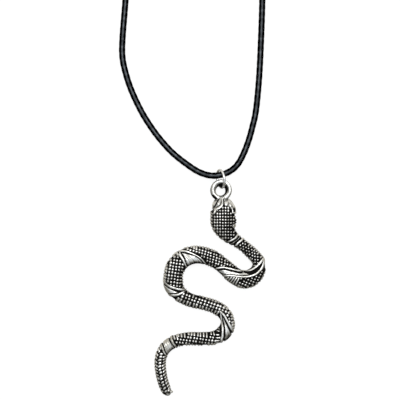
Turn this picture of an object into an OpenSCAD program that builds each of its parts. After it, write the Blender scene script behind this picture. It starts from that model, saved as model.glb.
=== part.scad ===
// Snake pendant on a waxed cord, lying on its flat back.
// Millimetres. X runs right, Y from the tail towards the clasp, Z up from the surface it lies on.
// The origin is on that surface, under the middle of the pendant with its jump ring.

/* [Snake body] */
// Height of the scale nubs above the body
nub_h = 0.36; // [0.2:0.02:0.4]
// Distance from one row of nubs to the next, along the body
nub_pitch = 1.1; // [1.05:0.05:1.4]
// Files of nubs side by side over the crown
nub_files = 7; // [6:1:8]
// Share of the height where the side walls stand straight
wall_share = 0.28; // [0.2:0.02:0.4]
// Length of the smooth snout, before the first row of nubs
snout_l = 4.2; // [3.6:0.2:5]

/* [Bands and eyes] */
// Height of the rims that edge the smooth bands, and of the brows
ridge_h = 0.32; // [0.2:0.02:0.4]
// Half the width of the body's surface that a rim or brow lifts
ridge_reach = 0.36; // [0.3:0.02:0.45]
// Depth of the eye hollows
eye_deep = 0.45; // [0.2:0.05:0.6]
// Radius of the eye hollows
eye_r = 0.45; // [0.4:0.05:0.6]

/* [Hanging ring] */
// Thickness of the cast ring
ring_wire = 1.45; // [1.3:0.05:1.5]
// Diameter of the cast ring, through the middle of its section
ring_d = 5.5; // [5.3:0.1:5.6]
// Height of the cast ring's middle above the surface
ring_z = 2.3; // [2.1:0.1:2.5]

/* [Jump ring] */
// Thickness of the jump ring's wire
jump_wire = 0.8; // [0.7:0.05:0.8]
// Diameter of the jump ring, through the middle of its wire
jump_d = 5.7; // [5.6:0.1:5.8]
// Turn of the jump ring away from standing edge-on
jump_turn = 22; // [18:1:26]
// Lean of the jump ring to the left
jump_lean = 9; // [4:1:12]

/* [Cord and clasp] */
// Diameter of the waxed cord
cord_d = 2; // [1.8:0.1:2]
// Diameter of the clasp's barrel
barrel_d = 4.6; // [4:0.1:5]
// Diameter of the clasp's two cord cups
cup_d = 3.4; // [2.8:0.1:3.8]
// Length of each cord cup
cup_l = 8; // [6:0.5:8]

/* [Hidden] */

SILVER = [0.66, 0.66, 0.65];
STEEL = [0.76, 0.76, 0.77];
BLACK = [0.06, 0.06, 0.07];

// Middle of the cast ring and of the jump ring, seen from above
RING_AT = [3.6, 29.75];
JUMP_AT = [3.5, 33.45];
// Gap between the jump ring and the surface
clear = 0.02;

// The snake from its snout to the tip of its tail.
// Columns: x, y of the middle, half width over the nubs, height over the nubs
SNAKE = [
    [3.6, 27.4, 1.4, 3.0],
    [3.6, 25.8, 2.5, 3.7],
    [3.8, 23.8, 3.5, 4.5],
    [4.2, 21.4, 4.2, 5.0],
    [4.4, 19.4, 4.3, 5.1],
    [4.8, 17.4, 3.7, 4.7],
    [5.8, 15.5, 2.9, 4.2],
    [7.4, 14.0, 2.2, 3.7],
    [9.4, 12.6, 2.0, 3.4],
    [12.6, 10.0, 2.15, 3.4],
    [15.2, 7.4, 2.15, 3.5],
    [15.8, 5.2, 2.3, 3.7],
    [15.0, 3.1, 2.7, 4.0],
    [13.0, 1.5, 3.0, 4.3],
    [10.4, 1.1, 3.05, 4.3],
    [7.6, 2.4, 2.95, 4.3],
    [4.4, 4.9, 2.75, 4.2],
    [1.2, 7.3, 2.8, 4.2],
    [-2.2, 8.7, 2.9, 4.2],
    [-5.5, 8.9, 3.0, 4.3],
    [-8.6, 7.7, 3.2, 4.4],
    [-10.8, 5.5, 3.3, 4.4],
    [-11.8, 2.9, 3.2, 4.4],
    [-11.8, 0.2, 3.25, 4.3],
    [-10.9, -2.2, 2.9, 4.0],
    [-8.9, -4.2, 2.45, 3.8],
    [-6.0, -5.7, 2.25, 3.7],
    [-2.4, -6.5, 2.2, 3.6],
    [1.2, -7.6, 2.2, 3.6],
    [4.0, -9.3, 2.3, 3.5],
    [5.6, -11.8, 2.35, 3.5],
    [5.6, -14.3, 2.5, 3.5],
    [4.0, -16.5, 2.5, 3.5],
    [1.3, -17.9, 2.25, 3.4],
    [-2.5, -18.2, 2.2, 3.4],
    [-7.0, -18.2, 2.15, 3.3],
    [-10.6, -18.9, 2.0, 3.2],
    [-13.2, -20.3, 1.85, 3.0],
    [-15.0, -22.2, 1.85, 2.9],
    [-15.9, -24.8, 1.85, 2.9],
    [-15.9, -27.7, 1.85, 2.8],
    [-15.4, -30.7, 1.8, 2.7],
    [-14.7, -33.2, 1.75, 2.5],
    [-13.9, -35.3, 1.6, 2.2],
    [-13.5, -36.4, 0.9, 1.5]
];

// The six smooth bands. Each has two raised rims, seen from above as x, y
BANDS = [
    // collar behind the head
    [
        [[9.0, 15.6], [8.5, 14.5], [7.4, 13.6], [6.0, 13.1], [5.2, 12.9]],
        [[11.0, 13.9], [9.9, 13.2], [9.4, 12.3], [8.4, 11.2]]
    ],
    // long leaf round the right turn
    [
        [
            [17.3, 7.7], [15.8, 5.9], [14.8, 5.0], [13.5, 4.1], [12.0, 3.6],
            [9.0, 3.8], [6.4, 4.5], [4.2, 4.9], [2.9, 4.8], [1.9, 4.4]
        ],
        [
            [17.4, 7.4], [17.2, 5.9], [16.6, 4.5], [15.6, 3.4], [14.5, 2.6],
            [12.0, 1.9], [9.0, 2.0], [6.5, 2.3], [4.4, 2.2]
        ]
    ],
    // wedge on the upper left turn
    [
        [
            [-9.9, 10.3], [-8.4, 10.2], [-6.8, 9.9], [-5.2, 9.3], [-3.8, 8.3],
            [-2.4, 6.9], [-1.1, 5.7]
        ],
        [[-9.9, 10.2], [-9.3, 8.5], [-8.3, 7.0], [-7.8, 5.8], [-7.6, 4.7]]
    ],
    // leaf on the lower left turn
    [
        [[-15.2, 0.4], [-14.3, -0.6], [-12.8, -1.4], [-11.0, -2.0], [-8.3, -2.5]],
        [[-13.2, -4.3], [-12.3, -3.8], [-10.6, -3.7], [-9.2, -3.2], [-8.3, -2.5]]
    ],
    // wedge on the lower right turn
    [
        [[3.2, -9.3], [4.5, -10.5], [5.5, -12.2], [6.4, -13.9], [7.5, -16.2]],
        [[3.3, -9.4], [3.8, -11.8], [4.1, -14.4], [4.1, -16.5], [3.6, -19.2]]
    ],
    // collar before the tail
    [
        [[-12.5, -17.5], [-12.3, -18.8], [-11.7, -19.9], [-10.7, -21.0]],
        [[-15.8, -20.0], [-15.3, -21.2], [-14.8, -22.6], [-14.0, -24.2]]
    ]
];

// Ridges over the eyes, as x, y seen from above
BROWS = [
    [[4.1, 26.0], [3.9, 25.0], [3.1, 24.0], [2.1, 23.4], [1.6, 22.4]],
    [[6.0, 25.1], [6.4, 24.3], [6.8, 23.5], [7.0, 22.5]]
];
// Middle of each eye hollow, as x, y
EYES = [[1.1, 23.0], [7.4, 23.3]];
// Smooth lobes: six on the snout, where it grips the cast ring, and two on the tail's tip.
// Columns: x, y, z, radius along x, along y, along z
LOBES = [
    [5.2, 25.6, 3.2, 0.7, 0.8, 0.6],
    [2.6, 25.4, 3.3, 0.5, 0.9, 0.6],
    [1.5, 25.0, 2.5, 0.6, 0.9, 0.8],
    [5.9, 26.4, 2.3, 0.9, 1.2, 0.9],
    [1.9, 26.5, 2.2, 0.9, 1.2, 0.9],
    [3.7, 26.7, 2.6, 1.3, 1.0, 1.0],
    [-13.4, -35.9, 0.9, 0.9, 0.8, 0.8],
    [-12.6, -35.4, 0.8, 0.6, 0.5, 0.6]
];

// Route of the cord's axis from the clasp's left cup, round the neck, to its right cup.
// Columns: x, y, z. It lies on the surface and rises into the jump ring and the cups
CORD = [
    [-21.2, 222, 2.3],
    [-24, 221, 1.8],
    [-26.2, 217.5, 1.2],
    [-27, 211, 1],
    [-27.4, 198, 1],
    [-27.4, 180, 1],
    [-27.2, 160, 1],
    [-26.8, 140, 1],
    [-26.4, 120, 1],
    [-26.6, 104, 1],
    [-27.4, 91, 1],
    [-28.3, 79.5, 1],
    [-28.4, 73.5, 1],
    [-27.5, 68.5, 1],
    [-25.5, 62.3, 1],
    [-22.2, 55.3, 1],
    [-18.9, 50, 1],
    [-15.8, 45.9, 1.05],
    [-12, 41.8, 1.2],
    [-7.5, 38.2, 1.6],
    [-3.6, 35.7, 2.1],
    [0.2, 34.5, 2.6],
    [3.7, 34.75, 2.85],
    [6.8, 36.1, 2.5],
    [9.1, 38.3, 2],
    [11, 41.8, 1.5],
    [12.6, 46, 1.15],
    [13.8, 50.3, 1],
    [14.9, 55.3, 1],
    [15.8, 64, 1],
    [16.4, 74, 1],
    [17, 91, 1],
    [17, 106, 1],
    [16.8, 130, 1],
    [16.8, 155, 1],
    [16.8, 180, 1],
    [16.8, 198, 1],
    [16.5, 211, 1],
    [15.8, 217.5, 1.2],
    [13.6, 221, 1.8],
    [10.8, 222, 2.3]
];

// A point at share t between the second and third of four points, on a smooth curve
function between(a, b, c, d, t) =
    ((2 * b) + (c - a) * t + (2 * a - 5 * b + 4 * c - d) * t * t
        + (3 * b - a - 3 * c + d) * t * t * t) / 2;
// A table's rows with more rows laid between them, on a smooth curve
function smooth(rows, steps) = let (last = len(rows) - 1) [
    for (i = [0 : last - 1], k = [0 : steps - 1])
        between(rows[max(i - 1, 0)], rows[i], rows[i + 1], rows[min(i + 2, last)], k / steps),
    rows[last]
];
function flat(p) = [p[0], p[1]];
// Length along the rows up to each one, seen from above
function lengths(rows, i = 0, sum = 0, out = []) =
    i == len(rows) ? out
    : let (here = i == 0 ? 0 : sum + norm(flat(rows[i]) - flat(rows[i - 1])))
        lengths(rows, i + 1, here, concat(out, [here]));
function column(at, rows, c) = [for (i = [0 : len(rows) - 1]) [at[i], rows[i][c]]];
function unit(v) = v / norm(v);
function left_of(v) = [-v[1], v[0]];
function inside(p, outline) = len([
    for (i = [0 : len(outline) - 1])
        let (a = outline[i], b = outline[(i + 1) % len(outline)])
        if ((a[1] > p[1]) != (b[1] > p[1])
            && p[0] < (b[0] - a[0]) * (p[1] - a[1]) / (b[1] - a[1]) + a[0]) 1
]) % 2 == 1;
function reverse(rows) = [for (i = [len(rows) - 1 : -1 : 0]) rows[i]];

// Rings along the snake, half a nub pitch apart. The nubs stand out of its sides by
// nub_spread of their height, because the widths in the table are over the nubs
snake_steps = 8;
nub_spread = 0.7;
fine = smooth(SNAKE, snake_steps);
fine_at = lengths(fine);
snake_l = fine_at[len(fine) - 1];
half_pitch = nub_pitch / 2;
ring_count = floor(snake_l / half_pitch);
x_at = column(fine_at, fine, 0);
y_at = column(fine_at, fine, 1);
half_at = column(fine_at, fine, 2);
high_at = column(fine_at, fine, 3);
RINGS = [
    for (i = [0 : ring_count])
        let (s = min(i * half_pitch, snake_l))
        [lookup(s, x_at), lookup(s, y_at), lookup(s, half_at) - nub_h * nub_spread,
         lookup(s, high_at) - nub_h]
];
LEFT = [
    for (i = [0 : ring_count])
        left_of(unit(flat(RINGS[min(i + 1, ring_count)]) - flat(RINGS[max(i - 1, 0)])))
];
band_outlines = [for (band = BANDS) concat(band[0], reverse(band[1]))];
function smooth_here(p) = len([for (outline = band_outlines) if (inside(p, outline)) 1]) > 0;

// Distance from a place to a line of places
function to_edge(p, a, b) =
    let (ab = b - a, share = max(0, min(1, (p - a) * ab / (ab * ab))))
    norm(p - a - share * ab);
function to_line(p, line) = min([for (i = [0 : len(line) - 2]) to_edge(p, line[i], line[i + 1])]);
ridges = concat([for (band = BANDS, edge = band) edge], BROWS);
function on_ridge(p) = min([for (line = ridges) to_line(p, line)]) < ridge_reach;
function in_eye(p) = min([for (eye = EYES) norm(p - eye)]) < eye_r;

// Angles over the crown, from the left side to the right one
crown_steps = 2 * nub_files;
function crown_point(i, angle, out) =
    let (
        ring = RINGS[i],
        wall = ring[3] * wall_share,
        across = (ring[2] + out) * cos(angle),
        xy = flat(ring) + across * LEFT[i]
    )
    [xy[0], xy[1], wall + (ring[3] + out - wall) * sin(angle)];
// How far the surface stands out: a nub, a ridge, an eye's hollow, or nothing
function relief(i, j) =
    let (p = flat(crown_point(i, j * 180 / crown_steps, 0)))
    in_eye(p) ? -eye_deep
    : on_ridge(p) ? ridge_h
    : i % 2 == 1 && j % 2 == 1 && i * half_pitch > snout_l && i < ring_count - 1 && !smooth_here(p) ? nub_h
    : 0;
function section(i) = concat(
    [for (j = [0 : crown_steps]) crown_point(i, j * 180 / crown_steps, relief(i, j))],
    [
        let (p = crown_point(i, 180, 0)) [p[0], p[1], 0],
        let (p = crown_point(i, 0, 0)) [p[0], p[1], 0]
    ]
);

// A closed tube through rings of points that all have the same number of points
module tube(rings) {
    n = len(rings[0]);
    last = len(rings) - 1;
    polyhedron(
        points = [for (r = rings, p = r) p],
        faces = concat(
            [[for (j = [0 : n - 1]) j]],
            [for (i = [0 : last - 1], j = [0 : n - 1])
                let (k = (j + 1) % n) [i * n + j, (i + 1) * n + j, (i + 1) * n + k]],
            [for (i = [0 : last - 1], j = [0 : n - 1])
                let (k = (j + 1) % n) [i * n + j, (i + 1) * n + k, i * n + k]],
            [[for (j = [n - 1 : -1 : 0]) last * n + j]]
        )
    );
}

module snake_body() tube([for (i = [0 : ring_count]) section(i)]);

module cast_ring()
    translate([RING_AT[0], RING_AT[1], ring_z])
        rotate_extrude($fn = 24)
            translate([ring_d / 2, 0])
                circle(d = ring_wire, $fn = 10);

module lobe(l)
    translate([l[0], l[1], l[2]])
        scale([l[3], l[4], l[5]])
            hull() sphere(r = 1, $fn = 8);

module pendant() {
    color(SILVER)
        union() {
            snake_body();
            cast_ring();
            for (l = LOBES)
                lobe(l);
        }
}

jump_z = jump_d / 2 * cos(jump_turn) + jump_wire / 2 + clear;

module jump_ring() {
    color(STEEL)
        translate([JUMP_AT[0], JUMP_AT[1], jump_z])
            rotate([0, 0, jump_lean])
                rotate([0, 90 + jump_turn, 0])
                    rotate_extrude($fn = 64)
                        translate([jump_d / 2, 0])
                            circle(d = jump_wire, $fn = 32);
}

// Rings of the cord, square to its route. Its two ends are square to the clasp
route_steps = 2;
ROUTE = smooth(CORD, route_steps);
cord_sides = 8;
into_cup = [-1, 0, 0];
function cord_ring(i) =
    let (
        last = len(ROUTE) - 1,
        along = i == 0 || i == last ? into_cup : unit(ROUTE[i + 1] - ROUTE[i - 1]),
        side = unit([-along[1], along[0], 0]),
        up = cross(along, side)
    )
    [
        for (k = [0 : cord_sides - 1])
            let (a = (k + 0.5) * 360 / cord_sides)
            ROUTE[i] + cord_d / 2 * (cos(a) * side + sin(a) * up)
    ];

module cord() {
    color(BLACK)
        tube([for (i = [0 : len(ROUTE) - 1]) cord_ring(i)]);
}

// The clasp fills the gap between the cord's two ends
clasp_l = CORD[len(CORD) - 1][0] - CORD[0][0];
barrel_l = clasp_l - 2 * cup_l;

module clasp() {
    color(STEEL)
        translate(CORD[0])
            rotate([0, 90, 0]) {
                cylinder(d = cup_d, h = cup_l, $fn = 48);
                translate([0, 0, cup_l]) cylinder(d = barrel_d, h = barrel_l, $fn = 48);
                translate([0, 0, cup_l + barrel_l]) cylinder(d = cup_d, h = cup_l, $fn = 48);
            }
}

pendant();
jump_ring();
cord();
clasp();
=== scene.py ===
import math
import random

import bpy
import numpy as np
from mathutils import Matrix, Vector
from mathutils.bvhtree import BVHTree


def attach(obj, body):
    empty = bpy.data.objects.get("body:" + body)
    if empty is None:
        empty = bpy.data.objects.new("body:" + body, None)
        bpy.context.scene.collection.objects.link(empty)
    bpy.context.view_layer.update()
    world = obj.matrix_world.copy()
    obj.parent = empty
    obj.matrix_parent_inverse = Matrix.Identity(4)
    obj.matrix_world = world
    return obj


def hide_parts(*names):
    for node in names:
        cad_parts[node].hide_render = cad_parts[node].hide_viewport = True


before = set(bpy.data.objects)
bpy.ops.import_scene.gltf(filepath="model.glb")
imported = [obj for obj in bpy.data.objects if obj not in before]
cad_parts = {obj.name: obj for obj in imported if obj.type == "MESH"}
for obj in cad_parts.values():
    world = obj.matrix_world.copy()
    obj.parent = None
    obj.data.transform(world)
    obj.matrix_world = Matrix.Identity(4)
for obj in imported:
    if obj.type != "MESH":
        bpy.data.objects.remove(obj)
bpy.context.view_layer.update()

MM = 0.001

# Camera. The necklace lies on a table and the camera hangs straight above it, as for a
# catalogue picture, with the snake's head towards the top of the frame.
frame_width = 129.03 * MM
frame_centre = (-3.2 * MM, 26.6 * MM)
subject_height = 3 * MM
lens = 100
sensor = 36

camera_data = bpy.data.cameras.new("camera")
camera_data.lens = lens
camera_data.sensor_width = sensor
camera_data.clip_start = 0.01
camera_data.clip_end = 20
camera = bpy.data.objects.new("camera", camera_data)
camera.location = (*frame_centre, subject_height + frame_width * lens / sensor)
bpy.context.scene.collection.objects.link(camera)
bpy.context.scene.camera = camera

# Cord. Round braided cotton, dyed black and waxed, 2 mm thick, one whole loop but for the
# clasp. It lies slack on the table, climbs into the jump ring and again into the clasp.
cord_radius = 1 * MM
braid_sides = 24
braid_step = 0.26 * MM
braid_lay = 9 * MM
braid_strands = 4
braid_relief = 0.1 * MM
# How full a strand's rounded top is, and how high the strand under it still stands
strand_fullness = 0.6
under_share = 0.55
route_steps = 24
# The route's places in millimetres, the same as the solid's
CORD_ROUTE = [
    (-21.2, 222, 2.3), (-24, 221, 1.8), (-26.2, 217.5, 1.2), (-27, 211, 1), (-27.4, 198, 1),
    (-27.4, 180, 1), (-27.2, 160, 1), (-26.8, 140, 1), (-26.4, 120, 1), (-26.6, 104, 1),
    (-27.4, 91, 1), (-28.3, 79.5, 1), (-28.4, 73.5, 1), (-27.5, 68.5, 1), (-25.5, 62.3, 1),
    (-22.2, 55.3, 1), (-18.9, 50, 1), (-15.8, 45.9, 1.05), (-12, 41.8, 1.2),
    (-7.5, 38.2, 1.6), (-3.6, 35.7, 2.1), (0.2, 34.5, 2.6), (3.7, 34.75, 2.85),
    (6.8, 36.1, 2.5), (9.1, 38.3, 2), (11, 41.8, 1.5), (12.6, 46, 1.15), (13.8, 50.3, 1),
    (14.9, 55.3, 1), (15.8, 64, 1), (16.4, 74, 1), (17, 91, 1), (17, 106, 1), (16.8, 130, 1),
    (16.8, 155, 1), (16.8, 180, 1), (16.8, 198, 1), (16.5, 211, 1), (15.8, 217.5, 1.2),
    (13.6, 221, 1.8), (10.8, 222, 2.3),
]


def smooth_line(points, steps):
    """More points laid between the given ones, on a smooth curve through them all."""
    line = []
    last = len(points) - 1
    for i in range(last):
        near = [np.array(points[min(max(k, 0), last)], float) for k in range(i - 1, i + 3)]
        a, b, c, d = near
        for t in np.arange(steps) / steps:
            line.append((2 * b + (c - a) * t + (2 * a - 5 * b + 4 * c - d) * t * t
                         + (3 * b - a - 3 * c + d) * t ** 3) / 2)
    line.append(np.array(points[last], float))
    return np.array(line)


def length_along(line):
    """Length of a line up to each of its points."""
    return np.concatenate([[0], np.cumsum(np.linalg.norm(np.diff(line, axis=0), axis=1))])


def even_line(line, count):
    """The same line through that many points, all the same way apart."""
    at = length_along(line)
    places = np.linspace(0, at[-1], count)
    return np.column_stack([np.interp(places, at, column) for column in line.T])


def new_piece(name, vertices, faces):
    """A mesh object at the origin, with its place in its mesh."""
    mesh = bpy.data.meshes.new(name)
    mesh.from_pydata([tuple(v) for v in vertices], [], faces)
    piece = bpy.data.objects.new(name, mesh)
    bpy.context.scene.collection.objects.link(piece)
    return piece


def tube_faces(rings, sides):
    """Faces round a tube of that many rings and sides, with both ends closed."""
    faces = [(i * sides + j, i * sides + (j + 1) % sides,
              (i + 1) * sides + (j + 1) % sides, (i + 1) * sides + j)
             for i in range(rings - 1) for j in range(sides)]
    faces.append(tuple(reversed(range(sides))))
    faces.append(tuple(range((rings - 1) * sides, rings * sides)))
    return faces


def braid_height(angle, along):
    """How high the braid's surface stands, 0 to 1: two sets of strands that pass over and under."""
    round_share = braid_strands * angle / (2 * math.pi)
    along_share = braid_strands * along / braid_lay
    left = round_share + along_share
    right = round_share - along_share
    over = np.cos(math.pi * left) * np.cos(math.pi * right) > 0
    one, other = (np.abs(np.sin(math.pi * way)) ** strand_fullness for way in (left, right))
    return np.where(over, np.maximum(one, under_share * other),
                    np.maximum(other, under_share * one))


def add_node(tree, kind, inputs=(), **settings):
    """Adds a node. Inputs pairs a socket's name or number with a value or another socket."""
    node = tree.nodes.new(kind)
    for name, value in settings.items():
        setattr(node, name, value)
    for socket, value in dict(inputs).items():
        if isinstance(value, bpy.types.NodeSocket):
            tree.links.new(value, node.inputs[socket])
        else:
            node.inputs[socket].default_value = value
    return node


def new_finish(name):
    """A new material, its node tree and its shader."""
    material = bpy.data.materials.new(name)
    material.use_nodes = True
    return material, material.node_tree, material.node_tree.nodes["Principled BSDF"]


def noise(tree, scale, detail, stretch=(1, 1, 1)):
    """Noise on a piece's own places. Stretch is the share of its scale along x, y and z."""
    where = add_node(tree, "ShaderNodeTexCoord").outputs["Object"]
    if stretch != (1, 1, 1):
        where = add_node(tree, "ShaderNodeMapping", {"Vector": where, "Scale": stretch}).outputs[0]
    inputs = {"Vector": where, "Scale": scale, "Detail": detail}
    return add_node(tree, "ShaderNodeTexNoise", inputs).outputs["Fac"]


cord_path = smooth_line(CORD_ROUTE, route_steps) * MM
cord_length = length_along(cord_path)[-1]
cord_rings = int(cord_length / braid_step)
cord_path = even_line(cord_path, cord_rings)
ahead = np.gradient(cord_path, axis=0)
ahead[0] = ahead[-1] = (-1, 0, 0)
ahead /= np.linalg.norm(ahead, axis=1)[:, None]
side = np.column_stack([-ahead[:, 1], ahead[:, 0], np.zeros(cord_rings)])
side /= np.linalg.norm(side, axis=1)[:, None]
above = np.cross(ahead, side)
angles = np.arange(braid_sides) * 2 * math.pi / braid_sides
lengths = np.linspace(0, cord_length, cord_rings)
relief = braid_height(angles[None, :], lengths[:, None])
radii = cord_radius + braid_relief * (relief - 0.5)
cord_points = (cord_path[:, None, :]
               + radii[..., None] * (np.cos(angles)[None, :, None] * side[:, None, :]
                                     + np.sin(angles)[None, :, None] * above[:, None, :]))
cord_points[..., 2] = np.maximum(cord_points[..., 2], 0)
cord = new_piece("waxed_cord", cord_points.reshape(-1, 3), tube_faces(cord_rings, braid_sides))
cord.data.polygons.foreach_set("use_smooth", [True] * len(cord.data.polygons))
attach(cord, "root")
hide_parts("cord")

wax, tree, shader = new_finish("black_wax")
shader.inputs["Base Color"].default_value = (0.001, 0.001, 0.0012, 1)
shader.inputs["Specular Tint"].default_value = (0.85, 0.93, 1, 1)
facing = add_node(tree, "ShaderNodeLayerWeight", {"Blend": 0.5}).outputs["Facing"]
sheen = add_node(tree, "ShaderNodeMapRange",
                 {"Value": facing, "From Min": 0.01, "From Max": 0.09, "To Min": 0.5, "To Max": 0},
                 interpolation_type="SMOOTHSTEP")
tree.links.new(sheen.outputs["Result"], shader.inputs["Specular IOR Level"])
smears = noise(tree, 700, 3)
dull = add_node(tree, "ShaderNodeMapRange", {"Value": smears, "From Min": 0.35, "From Max": 0.65,
                                             "To Min": 0.2, "To Max": 0.6})
tree.links.new(dull.outputs["Result"], shader.inputs["Roughness"])
cord.data.materials.append(wax)

# Snake's body. One flat-backed casting in zinc alloy, thick at the head and the upper
# turns, thin at the neck and tail, drawn along one S-shaped line by the pattern maker.
body_sides = 32
station_gap = 0.8 * MM
line_steps = 16
section_steps = 25
# The share of a section's height that is upright wall
wall_share = 0.28
# A section's fullness: 2 is an ellipse, more is flatter on top with rounder shoulders
fullness = 3
# How high scales stand, and the share of that by which they widen the body to each side
scale_height = 0.36
scale_spread = 0.7
# Columns: x, y of the middle, half width over the scales, height over the scales
SNAKE = [
    (3.6, 27.4, 1.7, 3.0), (3.85, 25.8, 3.0, 3.7), (4.35, 23.6, 3.85, 4.5),
    (4.25, 21.4, 4.1, 5.0), (4.45, 19.4, 4.3, 5.1), (4.95, 17.4, 3.75, 4.7),
    (6.0, 15.6, 2.9, 4.2), (7.6, 14.15, 2.2, 3.7), (9.55, 12.75, 2.0, 3.4),
    (12.75, 10.15, 2.1, 3.4), (15.3, 7.45, 2.15, 3.5), (15.85, 5.2, 2.3, 3.7),
    (15.05, 3.0, 2.7, 4.0), (13.05, 1.35, 3.0, 4.3), (10.5, 0.95, 3.0, 4.3),
    (7.75, 2.35, 2.9, 4.3), (4.55, 5.0, 2.7, 4.2), (1.3, 7.4, 2.8, 4.2),
    (-2.2, 8.65, 2.95, 4.2), (-5.5, 8.75, 3.05, 4.3), (-8.5, 7.6, 3.2, 4.4),
    (-10.7, 5.4, 3.25, 4.4), (-11.75, 2.9, 3.2, 4.4), (-11.8, 0.1, 3.25, 4.3),
    (-11.0, -2.3, 2.95, 4.0), (-9.0, -4.4, 2.5, 3.8), (-6.05, -5.9, 2.3, 3.7),
    (-2.45, -6.75, 2.25, 3.6), (1.15, -7.85, 2.25, 3.6), (3.9, -9.5, 2.35, 3.5),
    (5.5, -11.9, 2.35, 3.5), (5.55, -14.4, 2.5, 3.5), (4.0, -16.7, 2.5, 3.5),
    (1.3, -18.05, 2.3, 3.4), (-2.5, -18.35, 2.25, 3.4), (-7.0, -18.35, 2.2, 3.3),
    (-10.65, -19.0, 2.05, 3.2), (-13.3, -20.35, 1.9, 3.0), (-15.1, -22.25, 1.9, 2.9),
    (-16.0, -24.8, 1.9, 2.9), (-16.05, -27.7, 1.85, 2.8), (-15.6, -30.7, 1.8, 2.7),
    (-14.9, -33.2, 1.75, 2.5), (-14.1, -35.3, 1.6, 2.2), (-13.7, -36.6, 0.9, 1.5),
]
snake_line = smooth_line(SNAKE, line_steps)
snake_line[:, 2] -= scale_spread * scale_height
snake_line[:, 3] -= scale_height
snake_line *= MM
snake_along = length_along(snake_line[:, :2])
snake_length = snake_along[-1]
snake_heading = np.unwrap(np.arctan2(*np.gradient(snake_line[:, :2], axis=0).T[::-1]))


def snake_at(along):
    """Middle, heading, half width and height of the body, at a length from the snout."""
    x, y, half, high = (np.interp(along, snake_along, column) for column in snake_line.T)
    return Vector((x, y, 0)), float(np.interp(along, snake_along, snake_heading)), half, high


def half_section(half, high):
    """Half a section, from the crown's middle to the foot: arc length, way out and height."""
    turn = np.linspace(0, math.pi / 2, section_steps)
    out = np.append(half * np.sin(turn) ** (2 / fullness), half)
    crown = (1 - wall_share) * np.cos(turn).clip(0) ** (2 / fullness)
    up = np.append(high * (wall_share + crown), 0)
    return length_along(np.column_stack([out, up])), out, up


def on_snake(along, across, lift=0.0):
    """A place on the body, or lifted off it. Along is from the snout, and across is over the
    crown from its middle to the left, both measured on the surface."""
    middle, heading, half, high = snake_at(along)
    arc, out, up = half_section(half, high)
    way = min(abs(across), arc[-1])
    hand = 1 if across >= 0 else -1
    left = Vector((-math.sin(heading), math.cos(heading), 0)) * hand
    sideways, height = float(np.interp(way, arc, out)), float(np.interp(way, arc, up))
    crown = high * (1 - wall_share)
    rise = (max(height - high * wall_share, 0) / crown) ** (fullness - 1) / crown
    slope = (sideways / half) ** (fullness - 1) / half
    normal = (left * slope + Vector((0, 0, rise))).normalized()
    return middle + left * sideways + Vector((0, 0, height)) + normal * lift


def across_at(offset, half, high, lift):
    """Way across the crown to where the top of what stands that much proud is seen from above
    that far from the middle. Past the outline it is as far down the side wall."""
    arc, out, up = (column[:-1] for column in half_section(half, high))
    slope = (out / half) ** (fullness - 1) / half
    crown = high * (1 - wall_share)
    rise = (np.maximum(up - high * wall_share, 0) / crown) ** (fullness - 1) / crown
    seen = out + lift * slope / np.hypot(slope, rise)
    return np.interp(offset, seen, arc) + max(offset - seen[-1], 0)


def snake_place(x, y, lift=0.0):
    """Length along the snake and way across its crown of a place seen from above."""
    i = int(np.hypot(snake_line[:, 0] - x, snake_line[:, 1] - y).argmin())
    middle, heading, half, high = snake_at(snake_along[i])
    offset = math.cos(heading) * (y - middle.y) - math.sin(heading) * (x - middle.x)
    return np.array([snake_along[i],
                     math.copysign(across_at(abs(offset), half, high, lift), offset)])


def select_only(*pieces):
    """Selects these pieces and nothing else, and makes the first one active."""
    bpy.ops.object.select_all(action="DESELECT")
    for piece in pieces:
        piece.select_set(True)
    bpy.context.view_layer.objects.active = pieces[0]


def edit_all():
    """Starts editing the active piece, with all of it selected."""
    bpy.ops.object.mode_set(mode="EDIT")
    bpy.ops.mesh.select_all(action="SELECT")


def close_ends():
    """Closes the selected end and then the one that is still open, and stops editing."""
    bpy.ops.mesh.edge_face_add()
    bpy.ops.mesh.select_all(action="DESELECT")
    bpy.ops.mesh.select_non_manifold()
    bpy.ops.mesh.edge_face_add()
    bpy.ops.object.mode_set(mode="OBJECT")


def smooth_and_close(piece, sharp):
    """Normals out, and smooth shading but for edges sharper than that angle in degrees."""
    select_only(piece)
    edit_all()
    bpy.ops.mesh.normals_make_consistent(inside=False)
    bpy.ops.object.mode_set(mode="OBJECT")
    bpy.ops.object.shade_smooth_by_angle(angle=math.radians(sharp))


def turn_selected(angle, centre):
    """Turns what is selected about the upright axis, anticlockwise seen from above."""
    bpy.ops.transform.rotate(value=-angle, orient_axis="Z", center_override=centre)


bpy.ops.object.select_all(action="DESELECT")
bpy.ops.mesh.primitive_circle_add(vertices=body_sides, radius=1 * MM, rotation=(math.pi / 2, 0, 0))
body = bpy.context.object
body.name = "snake_body"
bpy.ops.object.transform_apply(location=True, rotation=True, scale=True)
middle, heading, half, high = snake_at(0)
for vertex in body.data.vertices:
    out, up = vertex.co.x / MM, vertex.co.z / MM
    vertex.co.x = math.copysign(abs(out) ** (2 / fullness), out) * MM
    crown = (1 - wall_share) * max(up, 0) ** (2 / fullness)
    vertex.co.z = 0 if up < -0.001 else (wall_share + crown) * MM
edit_all()
bpy.ops.transform.resize(value=(half / MM, 1, high / MM), center_override=(0, 0, 0))
turn_selected(heading - math.pi / 2, (0, 0, 0))
bpy.ops.transform.translate(value=middle)
for along in np.linspace(0, snake_length, round(snake_length / station_gap))[1:]:
    was = (middle, heading, half, high)
    middle, heading, half, high = snake_at(along)
    bpy.ops.mesh.extrude_region_move(TRANSFORM_OT_translate={"value": middle - was[0]})
    turn_selected(heading - was[1], middle)
    wider = half / was[2]
    bpy.ops.transform.resize(value=(wider, wider, high / was[3]), center_override=middle)
close_ends()
smooth_and_close(body, sharp=50)
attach(body, "root")
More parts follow.
